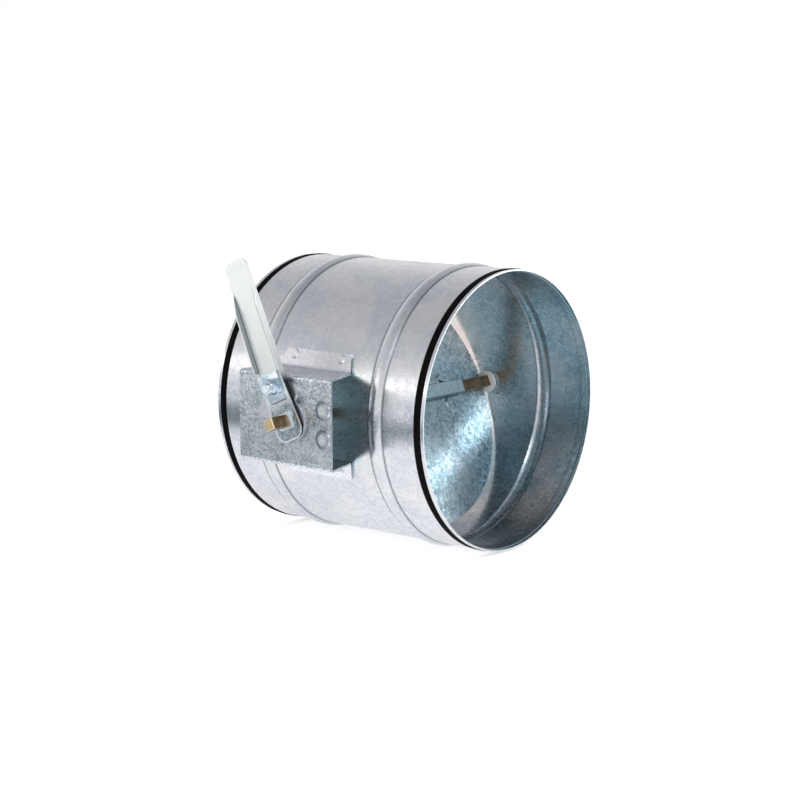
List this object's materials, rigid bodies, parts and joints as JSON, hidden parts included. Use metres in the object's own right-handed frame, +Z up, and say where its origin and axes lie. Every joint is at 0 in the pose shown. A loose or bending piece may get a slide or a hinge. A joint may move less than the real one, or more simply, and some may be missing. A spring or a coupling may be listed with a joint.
{
  "type": "volume control damper",
  "caption": "Round galvanised duct damper with gasketed spigots, a turning disc blade on a square shaft, and a locking lever on a hat bracket.",
  "frame": {"origin": "where the shaft's axis crosses the duct's axis, in the middle of the tube", "axes": "+X along the duct out of its front end, -Y along the shaft out of the hat bracket and lever, +Z up across the duct"},
  "size_m": [0.19, 0.2534, 0.2115],
  "materials": {
    "galvanised_tube": "spangled galvanised sheet",
    "galvanised_bracket": "strongly spangled galvanised sheet",
    "galvanised_blade": "spangled galvanised sheet",
    "zinc_plated": "satin zinc plate",
    "bright_zinc": "bright blue zinc plate",
    "yellow_zinc": "yellow-passivated zinc plate",
    "bush_plastic": "pale moulded plastic",
    "gasket_rubber": "black rubber"
  },
  "bodies": {
    "tube": {"duct_tube": "galvanised_tube", "front_gasket": "gasket_rubber", "rear_gasket": "gasket_rubber", "hat_bracket": "galvanised_bracket", "foot_rivets": "galvanised_bracket", "quadrant": "zinc_plated", "quadrant_rivets": "zinc_plated"},
    "blade_assembly": {"blade": "galvanised_blade", "blade_strap": "galvanised_blade", "strap_rivets": "galvanised_blade", "shaft": "yellow_zinc", "near_bush": "bush_plastic", "far_bush": "bush_plastic", "plate_bush": "bush_plastic", "far_washer": "bright_zinc", "far_clip": "bright_zinc", "lever": "zinc_plated", "lock_stud": "bright_zinc", "lock_clamp": "zinc_plated", "lock_washer": "bright_zinc"},
    "nut": {"lock_nut": "bright_zinc"}
  },
  "joints": [
    {"name": "blade_hinge", "type": "hinge", "parent": "tube", "child": "blade_assembly", "pos_m": [0, 0, 0], "axis": [0, -1, 0], "range_deg": [-24, 66]},
    {"name": "lock_nut_turn", "type": "hinge", "parent": "blade_assembly", "child": "nut", "pos_m": [-0.01037, -0.137, 0.02329], "axis": [0, -1, 0], "range_deg": [0, 360]}
  ]
}
